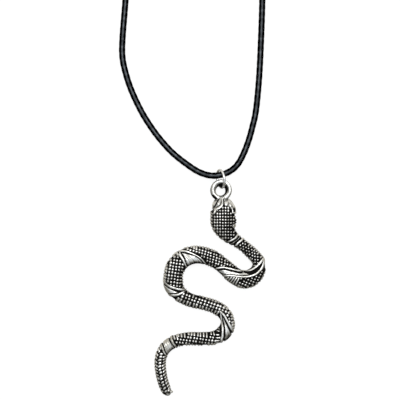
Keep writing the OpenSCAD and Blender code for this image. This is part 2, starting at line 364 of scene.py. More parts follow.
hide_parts("pendant")

body_tree = BVHTree.FromObject(body, bpy.context.evaluated_depsgraph_get())
full_polish = 0.85 * scale_height * MM
# Painted shade along the foot: whole up to this height over the table, thinning out over the fade
# above that
foot_shade_height = 0.15 * MM
foot_shade_fade = 0.45 * MM


def proud_of_body(place):
    """Height of a place over the bare body."""
    near, normal, _, _ = body_tree.find_nearest(place)
    return (Vector(place) - near).dot(normal)


def keep_wear_and_shading(piece, worn_and_shaded):
    """Keeps how bright each place is, 0 to 1: its wear, with painted light and shade on some
    pieces.
    """
    piece.data.attributes.new("wear_and_shading", "FLOAT", "POINT").data.foreach_set("value", worn_and_shaded)


def paint_wear_and_shading(piece, bottom_shade=0.0):
    """Works out how worn bright each place is, with painted shade mixed in. Hollows keep the black
    patina, what stands as proud of the body as the scales do is rubbed to bare silver, and places
    near the table are painted darker as shade. The last argument is how much darker the sides that
    face the picture's bottom are painted, as shade."""
    worn_and_shaded = []
    for vertex in piece.data.vertices:
        # Painted shade, darker towards the table
        off_table = min(1, max(0, (vertex.co.z - foot_shade_height) / foot_shade_fade))
        # Painted shade: the sides that face the picture's bottom are made darker
        unshaded = 1 - bottom_shade * max(0, -vertex.normal.y)
        proud = unshaded * proud_of_body(vertex.co) / full_polish
        worn_and_shaded.append(off_table * min(1, max(0, proud)))
    keep_wear_and_shading(piece, worn_and_shaded)


def blend(tree, share, low, high, colours=False):
    """Mixes two values or two colours by a share from 0 to 1, and gives the output socket."""
    kind = "RGBA" if colours else "FLOAT"
    node = tree.nodes.new("ShaderNodeMix")
    node.data_type = kind
    sockets = [s for s in node.inputs if s.enabled]
    for socket, value in zip(sockets, (share, low, high)):
        if isinstance(value, bpy.types.NodeSocket):
            tree.links.new(value, socket)
        else:
            socket.default_value = value
    return next(s for s in node.outputs if s.enabled)


patina_black = (0.006, 0.0055, 0.005, 1)
bright_silver = (0.80, 0.79, 0.77, 1)
old_silver = (0.44, 0.42, 0.37, 1)
black_roughness = 0.55
silver_roughness = 0.26
# How unevenly the patina is rubbed, and the wear and shading at which silver starts to show and is
# bare
rub_spread = 0.35
rub_start = 0.56
rub_end = 0.88
# How much film is left on silver that is only half rubbed
half_rubbed_film = 1.2

aged = bpy.data.node_groups.new("antique_finish", "ShaderNodeTree")
for name, kind, way in (
    ("Wear and shading", "NodeSocketFloat", "INPUT"), ("Tarnish", "NodeSocketFloat", "INPUT"),
    ("Colour", "NodeSocketColor", "OUTPUT"), ("Metal", "NodeSocketFloat", "OUTPUT"),
    ("Roughness", "NodeSocketFloat", "OUTPUT"), ("Normal", "NodeSocketVector", "OUTPUT"),
):
    aged.interface.new_socket(name, in_out=way, socket_type=kind)
given = aged.nodes.new("NodeGroupInput")
put_out = aged.nodes.new("NodeGroupOutput")
cloudy = noise(aged, 420, 3)
grain = noise(aged, 3200, 2)
uneven = add_node(aged, "ShaderNodeMath", {0: cloudy, 1: rub_spread}, operation="MULTIPLY")
shifted = add_node(aged, "ShaderNodeMath", {0: given.outputs["Wear and shading"], 1: uneven.outputs[0]},
                   operation="SUBTRACT")
worn_and_shaded = add_node(aged, "ShaderNodeMapRange",
                {"Value": shifted.outputs[0], "From Min": rub_start, "From Max": rub_end},
                interpolation_type="SMOOTHSTEP").outputs["Result"]
film = add_node(aged, "ShaderNodeMath", {0: cloudy, 1: given.outputs["Tarnish"]},
                operation="MULTIPLY").outputs[0]
flanks = blend(aged, worn_and_shaded, half_rubbed_film, 0.0)
tint = add_node(aged, "ShaderNodeMath", {0: film, 1: flanks}, use_clamp=True).outputs[0]
metal_colour = blend(aged, tint, bright_silver, old_silver, colours=True)
colour = blend(aged, worn_and_shaded, patina_black, metal_colour, colours=True)
aged.links.new(colour, put_out.inputs["Colour"])
aged.links.new(blend(aged, worn_and_shaded, 0.0, 1.0), put_out.inputs["Metal"])
aged.links.new(blend(aged, worn_and_shaded, black_roughness, silver_roughness), put_out.inputs["Roughness"])
bump = add_node(aged, "ShaderNodeBump", {"Height": grain, "Strength": 0.12, "Distance": 0.00004})
aged.links.new(bump.outputs["Normal"], put_out.inputs["Normal"])


def silver_finish(name, tarnish):
    """Antique silver plating, worn and painted lighter or darker by the piece's own attribute of
    wear and shading.
    """
    material, tree, shader = new_finish(name)
    shader.inputs["Specular IOR Level"].default_value = 0
    wear_and_shading = add_node(tree, "ShaderNodeAttribute", attribute_name="wear_and_shading").outputs["Fac"]
    finish = add_node(tree, "ShaderNodeGroup", node_tree=aged)
    tree.links.new(wear_and_shading, finish.inputs["Wear and shading"])
    finish.inputs["Tarnish"].default_value = tarnish
    for mine, its in (("Base Color", "Colour"), ("Metallic", "Metal"),
                      ("Roughness", "Roughness"), ("Normal", "Normal")):
        tree.links.new(finish.outputs[its], shader.inputs[mine])
    return material


silver = silver_finish("antique_silver", 0.45)
plait_silver = silver_finish("plait_silver", 0.7)
collar_silver = silver_finish("collar_silver", 1.5)
paint_wear_and_shading(body)
body.data.materials.append(silver)

# Bands. Six smooth plaits of the same casting, laid across the scales, each between two thin
# raised rims, with a sunk groove inside the rims and a low rounded lobe between the grooves.
rim_half = 0.42
rim_height = 0.38
rim_fullness = 0.6
rim_steps = 10
# How deep a slab's underside is sunk in the body, and where its top is hidden there
sheet_depth = 0.25
hidden_lift = -0.12
sheet_rows = 56
lobe_files = 30
lobe_slope = 0.3
# The share of a band's length over which its lobe grows
lobe_growth = 0.4
# Polishing streaks on a lobe: depth, then each set's waves across, drift and start
streak_depth = 0.012
STREAKS = [(31, 0.05, 0), (53, -0.07, 1)]
# Places across a rim, from its middle towards the band, in millimetres
RIM_FILES = [-0.5, -0.39, -0.3, -0.18, -0.06, 0.06, 0.18, 0.3, 0.39, 0.5]
# Each band's name, the width of its two grooves, how far along it the lobe starts to grow,
# the lobe's height, and its two rims as x, y, all in millimetres but for the start's share,
# which is below zero where the lobe is nearly whole from the band's end on
BANDS = [
    ("neck_collar", 0.72, 0.9, -0.3, 0.32,
     [(9.0, 15.5), (8.6, 14.9), (8.1, 14.25), (7.0, 13.6), (6.0, 13.15), (5.2, 12.9)],
     [(10.8, 14.1), (9.9, 13.35), (9.2, 12.8), (8.6, 12.0), (8.0, 11.3)]),
    ("right_leaf", 0.9, 0.42, 0.22, 0.3,
     [(17.3, 7.7), (15.8, 5.9), (14.8, 5.0), (13.5, 4.1), (12.0, 3.6),
      (9.0, 3.8), (6.4, 4.5), (4.2, 4.9), (2.9, 4.8), (1.9, 4.4)],
     [(17.4, 7.4), (17.2, 5.9), (16.6, 4.5), (15.6, 3.4), (14.5, 2.6),
      (12.0, 1.9), (9.0, 2.0), (6.5, 2.3), (4.4, 2.2)]),
    ("left_wedge", 0.8, 0.6, -0.3, 0.32,
     [(-10.0, 10.0), (-8.8, 10.1), (-7.6, 10.0), (-6.4, 9.6), (-5.1, 9.1), (-3.9, 8.5),
      (-2.9, 7.8), (-2.0, 6.9), (-1.1, 5.9)],
     [(-9.9, 9.7), (-9.3, 8.4), (-8.6, 7.3), (-8.1, 6.3), (-7.6, 5.0)]),
    ("left_leaf", 0.55, 0.45, 0.2, 0.42,
     [(-7.7, -2.4), (-8.8, -2.35), (-10.8, -2.0), (-12.6, -1.4), (-13.8, -0.6), (-14.9, 0.5)],
     [(-7.8, -2.6), (-8.9, -3.3), (-10.3, -3.9), (-12.2, -4.1), (-13.4, -3.9)]),
    ("right_wedge", 0.65, 0.65, -0.3, 0.3,
     [(3.2, -9.3), (4.5, -10.5), (5.5, -12.2), (6.4, -13.9), (7.5, -16.2)],
     [(3.3, -9.4), (3.8, -11.8), (4.1, -14.4), (4.1, -16.5), (3.6, -19.2)]),
    ("tail_collar", 0.55, 0.55, -0.3, 0.33,
     [(-12.5, -17.5), (-12.3, -18.8), (-11.7, -19.9), (-10.7, -21.0)],
     [(-15.8, -20.0), (-15.3, -21.2), (-14.8, -22.6), (-14.0, -24.2)]),
]


def over_the_body(points):
    """A smooth line through places seen from above, as lengths along and across the snake."""
    return np.array([snake_place(*place) for place in smooth_line(points, rim_steps) * MM])


def slab_faces(rows, files):
    """Faces of a closed slab: a grid of that many rows and files on top, one below, and edges."""
    below = rows * files
    faces, edges = [], []
    for i in range(rows - 1):
        for j in range(files - 1):
            a, b = i * files + j, i * files + j + 1
            c, d = b + files, a + files
            faces += [(a, b, c, d), (a + below, d + below, c + below, b + below)]
    for i in range(0, below - files, files):
        edges += [(i, i + files), (i + 2 * files - 1, i + files - 1)]
    for j in range(files - 1):
        edges += [(j + 1, j), (below - files + j, below - files + j + 1)]
    return faces + [(a, b, b + below, a + below) for a, b in edges]


def eased(share):
    """0 to 1 with a soft start and end."""
    share = np.clip(share, 0, 1)
    return share * share * (3 - 2 * share)


def relief_slab(name, grid, lifts):
    """A closed slab on the body. Its top follows the lifts, and its underside is sunk."""
    rows, files = lifts.shape
    top = [on_snake(*place, lift * MM)
           for place, lift in zip(grid.reshape(-1, 2), lifts.ravel())]
    under = [on_snake(*place, -sheet_depth * MM) for place in grid.reshape(-1, 2)]
    return new_piece(name, top + under, slab_faces(rows, files))


def rim_lift(inside):
    """Height of a band's rim, by the way in from the rim's middle."""
    rim = rim_height * np.clip(1 - (inside / rim_half) ** 4, 0, 1) ** rim_fullness
    return np.where(inside < -rim_half, hidden_lift, rim)


for name, first_groove, second_groove, lobe_start, lobe_height, *rims in BANDS:
    first, second = (even_line(over_the_body(rim), sheet_rows) for rim in rims)
    grid, lifts = [], []
    for k, (a, b) in enumerate(zip(first, second)):
        gap = np.linalg.norm(b - a) / MM
        way = (b - a) / max(gap * MM, 1e-9)
        room = max(gap - first_groove - second_groove, 0)
        wider = room * (1 - eased((k / sheet_rows - lobe_start) / lobe_growth))
        edge = np.array(RIM_FILES)
        near = np.minimum(edge, gap / 2)
        inner = np.linspace(0, 1, lobe_files + 2)[1:-1]
        middle = near[-1] + (gap - 2 * near[-1]) * inner
        offsets = np.concatenate([near, middle, (gap - near)[::-1]])
        half_way = offsets < gap / 2
        inside = np.where(half_way, offsets, gap - offsets)
        slope = min(lobe_slope, room / 3 + 0.01)
        lobe = lobe_height * np.minimum(eased((offsets - first_groove - wider) / slope),
                                        eased((gap - offsets - second_groove) / slope))
        share = offsets / gap if gap else offsets
        on_top = lobe > 0.9 * lobe_height
        lobe += streak_depth * on_top * sum(np.sin(waves * share + drift * k + begin)
                                            for waves, drift, begin in STREAKS)
        lift = np.maximum(rim_lift(inside), lobe)
        grid.append(a + way * offsets[:, None] * MM)
        lifts.append(lift)
    band = relief_slab(name, np.array(grid), np.array(lifts))
    smooth_and_close(band, sharp=60)
    # The bands' sides that face the picture's bottom are painted darker, as shade
    paint_wear_and_shading(band, bottom_shade=0.45)
    band.data.materials.append(collar_silver if name == "tail_collar" else plait_silver)
    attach(band, "root")

# Face. The casting's snout and cheeks are smooth, with a thick brow strand over each eye, a
# knob on the snout, thin strands between cut lines, and drop-shaped hollows for eyes.
face_start = 0.02
face_length = 11.6
face_step = 0.1
face_files = 112
face_lift = 0.3
deepest_cut = -0.9 * sheet_depth
# How soft the smooth part's edge is, and how full ridges and round forms are
edge_softness = 0.25
ridge_fullness = 0.6
form_fullness = 0.8
strand_steps = 6
# The smooth part's outline, then its ridges, cuts and round forms, as x, y in millimetres
FACE_OUTLINE = [
    (-2, 30), (10, 30), (10, 22.1), (7.0, 22.1), (6.85, 23.5), (6.3, 24.3), (5.75, 24.6),
    (5.1, 24.5), (4.75, 24.75), (4.5, 25.3), (4.25, 24.9), (4.15, 24.5), (3.7, 23.95), (2.9, 23.5),
    (2.25, 23.2), (1.95, 22.4), (1.7, 21.75), (-2, 21.75),
]
# Each ridge's half width and height, then its line
FACE_RIDGES = [
    (0.4, 0.32, [(4.0, 27.2), (4.1, 25.8), (3.9, 25.0), (3.4, 24.35), (2.55, 23.9),
                 (1.95, 23.6), (1.63, 23.0), (1.55, 22.5), (1.15, 22.2)]),
    (0.34, 0.3, [(6.25, 25.1), (6.5, 24.75), (6.9, 24.1), (7.0, 23.5), (7.0, 22.9), (7.35, 22.5),
                 (7.9, 22.5)]),
    (0.2, 0.16, [(1.3, 26.0), (0.8, 25.2), (0.5, 24.4)]),
    (0.25, 0.16, [(6.4, 26.0), (7.1, 25.2), (7.6, 24.4), (8.0, 23.6)]),
    (0.22, 0.14, [(0.75, 23.9), (0.5, 23.1), (0.6, 22.3)]),
    (0.22, 0.14, [(8.0, 23.9), (8.1, 23.3), (7.8, 22.6)]),
]
# Each cut's half width, depth and line
FACE_CUTS = [
    (0.2, 0.4, [(2.95, 26.9), (2.5, 26.2), (2.1, 25.4), (1.8, 24.8), (1.4, 24.3)]),
    (0.14, 0.16, [(3.6, 26.5), (3.5, 25.6), (3.1, 24.85), (2.2, 24.3)]),
    (0.2, 0.4, [(4.35, 27.4), (4.4, 26.2), (4.5, 24.9)]),
    (0.15, 0.14, [(4.97, 26.6), (5.7, 26.4), (5.9, 25.4), (5.75, 24.8)]),
    (0.14, 0.12, [(6.1, 26.1), (6.7, 25.5), (7.15, 24.8)]),
    (0.24, 0.6, [(6.95, 24.5), (6.9, 24.3)]),
    (0.22, 0.6, [(0.0, 21.75), (1.6, 21.75)]),
    (0.3, 0.6, [(6.8, 22.0), (9.0, 22.0)]),
]
# Each round form's middle, its two radii and its height, which is negative in a hollow
FACE_FORMS = [
    (5.15, 25.45, 0.8, 0.95, 0.42), (6.1, 26.35, 0.7, 0.6, 0.2), (2.7, 25.4, 0.36, 0.55, 0.22),
    (1.35, 25.15, 0.34, 0.5, 0.16), (1.1, 23.1, 0.5, 0.75, -1.3), (7.5, 23.35, 0.44, 0.66, -1.5),
]
# The smooth round bump at the right of the neck
bump_place = (7.75, 18.1)
bump_radii = (0.85, 1.0)
bump_height = 0.42
bump_steepness = 1.6


def way_to_legs(places, points):
    """Distance from each place to the straight legs between points."""
    nearest = np.full(len(places), np.inf)
    for a, b in zip(points, points[1:]):
        share = np.clip((places - a) @ (b - a) / max((b - a) @ (b - a), 1e-12), 0, 1)
        nearest = np.minimum(nearest, np.linalg.norm(places - a - share[:, None] * (b - a), axis=1))
    return nearest


def way_to_line(places, line):
    """Distance from each place to a smooth line through points."""
    return way_to_legs(places, smooth_line(line, strand_steps))


def in_outline(x, y, outline):
    """Whether a place lies inside a closed outline."""
    inside = False
    for (x1, y1), (x2, y2) in zip(outline, outline[1:] + outline[:1]):
        if (y1 > y) != (y2 > y) and x < (x2 - x1) * (y - y1) / (y2 - y1) + x1:
            inside = not inside
    return inside


def swell(distance, reach, power=1.5):
    """1 in the middle and 0 past its reach. A low power gives a full, steep-sided form."""
    return np.clip(1 - (distance / reach) ** 2, 0, 1) ** power


def face_relief(places):
    """Height of the face over the body at places seen from above, in millimetres."""
    edge = way_to_legs(places, np.array(FACE_OUTLINE + FACE_OUTLINE[:1], float))
    side = np.array([1 if in_outline(*p, FACE_OUTLINE) else -1 for p in places])
    lift = np.full(len(places), face_lift)
    for reach, height, line in FACE_RIDGES:
        ridge = height * swell(way_to_line(places, line), reach, ridge_fullness)
        lift = np.maximum(lift, face_lift + ridge)
    for x, y, long, wide, height in FACE_FORMS:
        way = np.hypot((places[:, 0] - x) / long, (places[:, 1] - y) / wide)
        lift += height * swell(way, 1, form_fullness)
    for reach, depth, line in FACE_CUTS:
        lift -= depth * swell(way_to_line(places, line), reach)
    lift = np.maximum(lift, deepest_cut)
    lift = hidden_lift + (lift - hidden_lift) * eased(0.5 + side * edge / edge_softness)
    bump = swell(np.hypot((places[:, 0] - bump_place[0]) / bump_radii[0],
                          (places[:, 1] - bump_place[1]) / bump_radii[1]), 1)
    bump = hidden_lift + (bump_height - hidden_lift) * eased(bump * bump_steepness)
    return np.maximum(lift, bump)


grid = []
for along in np.arange(face_start, face_length, face_step):
    _, _, half, high = snake_at(along * MM)
    foot = half_section(half, high)[0][-1]
    grid.append([(along * MM, across) for across in np.linspace(-foot, foot, face_files)])
grid = np.array(grid)
seen = np.array([on_snake(*place)[:2] for place in grid.reshape(-1, 2)]) / MM
face = relief_slab("face", grid, face_relief(seen).reshape(grid.shape[:2]))
smooth_and_close(face, sharp=70)
paint_wear_and_shading(face)
face.data.materials.append(silver)
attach(face, "root")

# Scales. Small round nubs cast in one with the body, in files that cross it at a slant. Their
# feet run into each other, so that four of them leave a black hollow between them.
scale_sides = 8
scale_foot = 0.64
scale_root = 0.4
# How far each step goes in and up, in scale widths and heights
SCALE_STEPS = [(0.13, 0.36), (0.11, 0.27), (0.12, 0.24), (0.12, 0.13)]
# Fields of scales: start and end along the snake, how far in from the outline ribs start on
# its left and right, the scales' size, one scale's place, and the steps along its file and to
# the next file, all in millimetres, places and steps as x, y
FIELDS = [
    (0.0, 15.2, 0.6, 0.6, 0.89, (2.32, 23.19), (0.9, 0), (0, -0.98)),
    (15.2, 23.3, 0.8, 0.9, 0.76, (12.52, 10.97), (0.903, -0.323), (0.758, 0.684)),
    (23.3, 27.6, 0.8, 0.8, 0.79, (14.48, 7.42), (0.968, -0.145), (-0.02, -0.968)),
    (27.6, 35.2, 0.7, 0.8, 0.74, (14.1, 0.19), (0.903, -0.371), (-0.435, -0.887)),
    (38.0, 55.5, 0.9, 0.7, 0.91, (1.19, 8.32), (0.926, -0.284), (-0.145, -0.929)),
    (55.5, 68.5, 0.7, 0.7, 1.04, (-11.23, 2.1), (1.03, -0.145), (-0.13, -1.01)),
    (68.5, 86.5, 0.7, 1.6, 1.13, (-1.45, -6.0), (0.997, -0.337), (-0.387, -0.968)),
    (86.5, 94.0, 0.8, 0.8, 0.98, (6.26, -11.65), (0.97, -0.2), (0.1, -1.0)),
    (94.0, 111.5, 0.8, 1.2, 1.01, (-5.42, -18.97), (1.003, -0.139), (-0.25, -1.03)),
]
# How many steps a field reaches to each side of its own scale
field_reach = 18
# A file of ribs beside the right leaf: start, end and pitch, then a rib's size along and
# across, and the places across that are tried for it
RIB_FILE = (35.2, 41.5, 0.72)
file_rib = (1.0, 0.85)
RIB_TRIES = np.arange(-0.6, 2.6, 0.2)
# A file of long scales beside the right wedge: x, each one's y, and their size
long_file_x = 2.5
LONG_FILE = [-15.6, -16.85, -17.85, -18.8, -19.6]
long_scale = (2.2, 0.66)
# Each of the tail's files: its way across, how much later it starts, and its scales' slant
# and width
TAIL_FILES = [(-1.25, 0, 0.3, 1.35), (-0.05, 0.4, -0.25, 1.6), (1.15, 0, -0.45, 1.6)]
tail_start = 111.9
tail_pitch = 1.03
tail_rows = 16
# How far the tail's scales stray, and by what shares their lengths and widths differ
tail_stray = 0.1
tail_longer = (0.9, 1.25)
tail_wider = (0.85, 1.15)
# How far in from the outline ribs start: at the tail, where all are ribs, and where none is
tail_ribs = (0.6, 0.6)
all_ribs = (4, 4)
no_ribs = (-1, -1)
# Scales keep this far from each other, from the table, from rims and from the face's ridges
closest = 0.62
foot_margin = 0.3
bare_margin = 0.46
face_margin = 0.55
bare_lines = [(bare_margin, rim) for band in BANDS for rim in band[5:]]
bare_lines += [(face_margin, line) for _, _, line in FACE_RIDGES[:2]]
# How full a rib stays on its way down the side wall, 1 for not at all
rib_fullness = 0.6
# Ribs grow that much wider and lower down the sides that face the picture's bottom, and
# that much narrower down the others. Their inner ends have this share of the sinking.
rib_widening = 0.35
rib_sinking = 0.25
rib_narrowing = 0.36
inner_sinking = 0.4
# The width that a file of ribs takes up before it goes down the side wall
file_width = 0.97
# Around the bands and the round bump, places are bare up to an outline
outline_steps = 4
bump_clearance = 1.1
# How much scales differ in size and in height
size_spread = (0.94, 1.05)
height_spread = (0.88, 1.04)

bpy.ops.object.select_all(action="DESELECT")
bpy.ops.mesh.primitive_circle_add(vertices=scale_sides, radius=scale_foot, fill_type="NGON",
                                  location=(0, 0, -scale_root))
pattern = bpy.context.object
bpy.ops.object.transform_apply(location=True)
edit_all()
bpy.ops.mesh.extrude_region_move(TRANSFORM_OT_translate={"value": (0, 0, scale_root)})
for inward, upward in SCALE_STEPS:
    bpy.ops.mesh.inset(thickness=inward, depth=upward)
bpy.ops.object.mode_set(mode="OBJECT")
scale_shape = [tuple(v.co) for v in pattern.data.vertices]
scale_faces = [tuple(p.vertices) for p in pattern.data.polygons]
bpy.data.objects.remove(pattern)

bare_outlines = [FACE_OUTLINE]
for *_, first, second in BANDS:
    first, second = (smooth_line(rim, outline_steps) for rim in (first, second))
    bare_outlines.append([tuple(place) for place in np.concatenate([first, second[::-1]])])
bare_outlines.append([(bump_place[0] + bump_clearance * bump_radii[0] * math.cos(a),
                       bump_place[1] + bump_clearance * bump_radii[1] * math.sin(a))
                      for a in np.arange(12) * math.pi / 6])
scale_places = []


def place_scale(along, across, long, wide, ribs, slant=0.0, turn=0.0, anywhere=False):
    """Notes a scale's place and size, unless a band or another scale is there. Near the outline
    it becomes a rib down the side wall, and past the file of ribs it is left out, unless it may
    start anywhere. Gives whether the scale was placed."""
    _, heading, half, high = snake_at(along * MM)
    foot = half_section(half, high)[0][-1] / MM
    hand = 1 if across > 0 else -1
    inner = max(half / MM - ribs[0 if across > 0 else 1], 0)
    shoulder, last = (across_at(offset * MM, half, high, scale_height * MM) / MM
                      for offset in (inner, inner + file_width))
    if abs(across) > foot - foot_margin or (abs(across) > last and not anywhere):
        return False
    place = on_snake(along * MM, across * MM) / MM
    if any(in_outline(place.x, place.y, outline) for outline in bare_outlines):
        return False
    if any(way_to_line(np.array([place[:2]]), line)[0] < margin for margin, line in bare_lines):
        return False
    if any((place - other).length < closest for other, *_ in scale_places):
        return False
    reach = wide * scale_foot if abs(across) <= shoulder else foot - abs(across)
    downwards = -math.cos(heading) * hand
    if abs(across) <= shoulder:
        downwards *= abs(across) / foot
    scale_places.append((place, along, across, long, wide, reach / scale_foot, slant, turn,
                         downwards))
    return True


for y in LONG_FILE:
    along, across = snake_place(long_file_x * MM, y * MM, scale_height * MM) / MM
    place_scale(along, across, *long_scale, no_ribs, turn=-snake_at(along * MM)[1])
for along in np.arange(*RIB_FILE):
    any(place_scale(along, across, *file_rib, all_ribs, anywhere=True) for across in RIB_TRIES)
for start, end, *ribs, scale_size, dot, step, over in FIELDS:
    for j in range(-field_reach, field_reach + 1):
        for i in range(-field_reach, field_reach + 1):
            x, y = (dot[k] + step[k] * i + over[k] * j for k in (0, 1))
            along, across = snake_place(x * MM, y * MM, scale_height * MM) / MM
            if start <= along < end:
                place_scale(along, across, scale_size, scale_size, ribs)
random.seed(9)
for k in range(tail_rows):
    for across, later, slant, wide in TAIL_FILES:
        along = tail_start + tail_pitch * k + later + random.uniform(-tail_stray, tail_stray)
        place_scale(along, across + random.uniform(-tail_stray, tail_stray),
                    tail_pitch * random.uniform(*tail_longer), wide * random.uniform(*tail_wider),
                    tail_ribs, slant=slant)

random.seed(4)
vertices, faces = [], []
for _, along, across, long, wide, reach, slant, turn, downwards in scale_places:
    size = random.uniform(*size_spread)
    high = scale_height * random.uniform(*height_spread)
    start = len(vertices)
    faces += [tuple(start + k for k in face_corners) for face_corners in scale_faces]
    for x, y, z in scale_shape:
        down = abs(y) / scale_foot if reach > wide and y * across > 0 else 0
        if down:
            y = math.copysign(down ** rib_fullness * scale_foot, y)
        y *= size * (reach if y * across > 0 else wide)
        grown = rib_widening * downwards if downwards > 0 else -rib_narrowing
        x = x * long * size * (1 + grown * down) + slant * y
        z *= 1 - rib_sinking * max(downwards, 0) * (inner_sinking + (1 - inner_sinking) * down)
        x, y = (x * math.cos(turn) - y * math.sin(turn), x * math.sin(turn) + y * math.cos(turn))
        vertices.append(on_snake((along + x) * MM, (across + y) * MM, z * high * MM))
scales = new_piece("scales", vertices, faces)
smooth_and_close(scales, sharp=75)
paint_wear_and_shading(scales)
scales.data.materials.append(silver)
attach(scales, "root")

# Tail tip. The end of the casting, in the same antique silver: a few rounded lumps with a small
# hook turned to the right, cast in one with the last scales.
lump_segments = 20
lump_rings = 12
# Each lump's middle and its radii, in millimetres
TIP_LUMPS = [
    (-13.7, -36.2, 0.6, 1.0, 0.75, 1.1), (-13.4, -35.0, 1.5, 0.62, 0.6, 0.75),
    (-12.65, -35.6, 0.9, 0.75, 0.45, 0.7), (-14.95, -35.2, 0.9, 0.6, 0.6, 0.8),
]
bpy.ops.object.select_all(action="DESELECT")
lumps = []
for x, y, z, *radii in TIP_LUMPS:
    bpy.ops.mesh.primitive_uv_sphere_add(segments=lump_segments, ring_count=lump_rings,
                                         radius=1 * MM)
    lump = bpy.context.object
    lump.scale = radii
    lump.location = Vector((x, y, z)) * MM
    bpy.ops.object.transform_apply(location=True, scale=True)
    for vertex in lump.data.vertices:
        vertex.co.z = max(vertex.co.z, 0)
    lumps.append(lump)
select_only(*lumps)
bpy.ops.object.join()
tip = bpy.context.object
tip.name = "tail_tip"
smooth_and_close(tip, sharp=60)
paint_wear_and_shading(tip)
tip.data.materials.append(silver)
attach(tip, "root")

# Hanging ring. Cast in one with the snake's snout and as thick as a round wire of 1.45 mm. Its
# top is bright and its lower half black, and stretches of its sides are painted lighter where they
# face the picture's top and darker where they face its bottom, as light and shade.
ring_wire = 1.45
ring_d = 5.5
ring_place = (3.6, 29.75, 2.3)
# How much the hole narrows downwards, up to which height, and how far the top leans over
ring_draft = 0.5
draft_top = 0.3
ring_shift = (0.16, 0.18)
ring_sides = 24
ring_steps = 72
# Stretches painted lighter or darker as light and shade by the way they face: whether on the outer
# side, the middle and reach in degrees anticlockwise from the right, how firm the edge is, and
# how much lighter than the rest, below zero for painted shade
RING_SIDE_LIGHT = [(True, -133, 14, 1.8, -0.65), (False, -150, 50, 1.6, 0.5), (False, 60, 56, 1.6, -0.4)]
bright_line = 0.02
bright_sharpness = 2.6
# Dark strands where the ring grows out of the snout: stretch, waves and depth
snout_stretch = (-88, 20, 1.6)
strand_waves = 0.42
strand_depth = 0.3


def turned_ring(name, wire, across, sides, steps, angle=2 * math.pi):
    """A ring of round wire about the upright axis, at the origin."""
    bpy.ops.object.select_all(action="DESELECT")
    bpy.ops.mesh.primitive_circle_add(vertices=sides, radius=wire / 2 * MM,
                                      location=(across / 2 * MM, 0, 0),
                                      rotation=(math.pi / 2, 0, 0))
    ring = bpy.context.object
    ring.name = name
    bpy.ops.object.transform_apply(location=True, rotation=True)
    edit_all()
    whole = angle > 6.28
    bpy.ops.mesh.spin(steps=steps, angle=angle, center=(0, 0, 0), axis=(0, 0, 1),
                      use_auto_merge=whole)
    bpy.ops.mesh.select_all(action="SELECT")
    bpy.ops.mesh.remove_doubles(threshold=0.001 * MM)
    if not whole:
        bpy.ops.mesh.select_all(action="DESELECT")
        bpy.ops.mesh.select_non_manifold()
        bpy.ops.mesh.edge_face_add()
    bpy.ops.object.mode_set(mode="OBJECT")
    return ring


def stretch_share(round_way, middle, reach, firmness):
    """How much a place round the ring belongs to a stretch of it, 0 to 1."""
    return eased(firmness - abs((round_way - middle + 180) % 360 - 180) / reach)


ring = turned_ring("hanging_ring", ring_wire, ring_d, ring_sides, ring_steps)
ring_shading = []
for vertex in ring.data.vertices:
    out = vertex.co.xy.length
    rise = vertex.co.z / (ring_wire / 2 * MM)
    round_way = math.degrees(math.atan2(vertex.co.y, vertex.co.x))
    outer = out > ring_d / 2 * MM
    # Painted light on the sides that face the picture's top, painted shade on those that face its
    # bottom
    side_light = sum(weight * stretch_share(round_way, *stretch)
                for on_outer, *stretch, weight in RING_SIDE_LIGHT if on_outer == outer)
    bare = eased((rise - bright_line + side_light) * bright_sharpness)
    waves = 0.5 + 0.5 * math.sin(round_way * strand_waves)
    strands = stretch_share(round_way, *snout_stretch) * waves
    ring_shading.append(float(bare) * (1 - strand_depth * strands))
    if out < ring_d / 2 * MM:
        wall = (ring_d - ring_wire + ring_draft * (rise - 1)) / 2 * MM
        vertex.co.xy *= min(out, wall if rise < draft_top else out) / out
    vertex.co += Vector((ring_shift[0] * rise, ring_shift[1] * rise, 0)) * MM
ring.data.transform(Matrix.Translation(Vector(ring_place) * MM))
smooth_and_close(ring, sharp=80)
keep_wear_and_shading(ring, ring_shading)
ring.data.materials.append(silver)
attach(ring, "root")

# Jump ring. Round steel wire 0.8 mm thick, plated, bent to a ring round the cord and the
# hanging ring, and pinched shut so that only a hairline shows.
jump_wire = 0.8
jump_d = 5.7
jump_sides = 20
jump_steps = 90
jump_place = (3.5, 33.45)
# Angles in degrees: tilt off upright, lean to the side, and the opening's width and place
jump_turn = 22
jump_lean = 9
jump_open = 3
jump_seam = 200
jump_clear = 0.02
jump_z = jump_d / 2 * math.cos(math.radians(jump_turn)) + jump_wire / 2 + jump_clear
jump_ring = turned_ring("wire_ring", jump_wire, jump_d, jump_sides, jump_steps,
                        math.radians(360 - jump_open))
stand = (Matrix.Translation(Vector((*jump_place, jump_z)) * MM)
         @ Matrix.Rotation(math.radians(jump_lean), 4, "Z")
         @ Matrix.Rotation(math.radians(90 + jump_turn), 4, "Y")
         @ Matrix.Rotation(math.radians(jump_seam), 4, "Z"))
jump_ring.data.transform(stand)
smooth_and_close(jump_ring, sharp=60)
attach(jump_ring, "root")
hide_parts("jump_ring")

plating, tree, shader = new_finish("plated_wire")
shader.inputs["Base Color"].default_value = (0.72, 0.72, 0.73, 1)
shader.inputs["Metallic"].default_value = 1
tree.links.new(blend(tree, noise(tree, 900, 3), 0.12, 0.3), shader.inputs["Roughness"])
jump_ring.data.materials.append(plating)

# Clasp. A plain turned barrel of steel behind the neck, screwed shut, with a cup at each end
# that grips the cord's glued end.
clasp_start = (-21.2, 222, 2.3)
clasp_length = 32
cup_length = 8
cup_radius = 1.7
cup_edge = 1.45
cup_groove = 1.5
barrel_radius = 2.3
barrel_edge = 2.0
barrel_seam = 2.15
clasp_sides = 48
